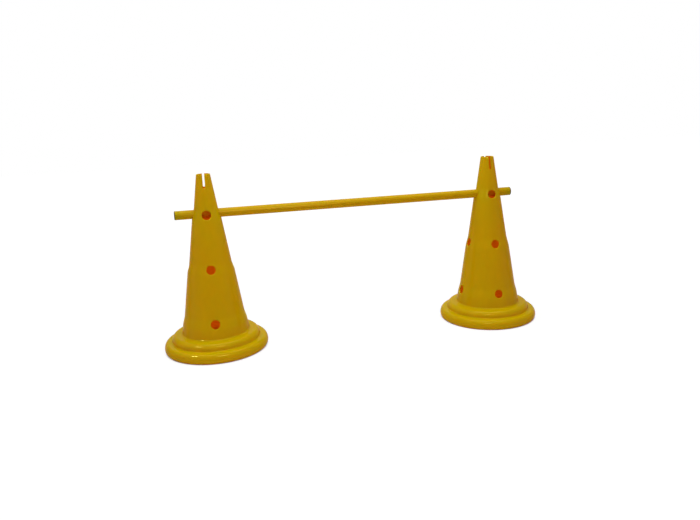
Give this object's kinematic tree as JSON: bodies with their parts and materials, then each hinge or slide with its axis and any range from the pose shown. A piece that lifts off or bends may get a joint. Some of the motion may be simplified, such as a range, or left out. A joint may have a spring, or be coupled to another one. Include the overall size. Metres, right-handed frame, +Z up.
{
  "type": "training hurdle",
  "caption": "Training hurdle: a round pole with push-in end caps, carried through the side holes of hollow marker cones that have stepped base flanges and a slotted open top.",
  "frame": {"origin": "on the ground, at the bottom centre of the bounding box, midway between the cones", "axes": "+X along the pole towards the right-hand cone, +Z up; the front of the hurdle faces -Y"},
  "size_m": [1.1326, 0.2936, 0.5],
  "materials": {
    "cone_plastic": "yellow moulded polyethylene, glossy with a soft haze",
    "pole_plastic": "yellow extruded tube, glossy",
    "cap_plastic": "black moulded plastic, satin"
  },
  "bodies": {
    "cone_left": {"cone_left": "cone_plastic"},
    "cone_right": {"cone_right": "cone_plastic"},
    "pole_caps": {"end_cap_left": "cap_plastic", "end_cap_right": "cap_plastic"},
    "pole_tube": {"pole_tube": "pole_plastic"}
  },
  "joints": [
    {"name": "cone_right_slide", "type": "slide", "parent": "cone_left", "child": "cone_right", "axis": [1, 0, 0], "range_m": [-0.54, 0.15]},
    {"name": "pole_slide", "type": "slide", "parent": "cone_left", "child": "pole_caps", "axis": [1, 0, 0], "range_m": [-1, 1]},
    {"name": "pole_spin", "type": "hinge", "parent": "pole_caps", "child": "pole_tube", "pos_m": [-0.0066, 0, 0.3894], "axis": [1, 0, 0], "continuous": true}
  ]
}
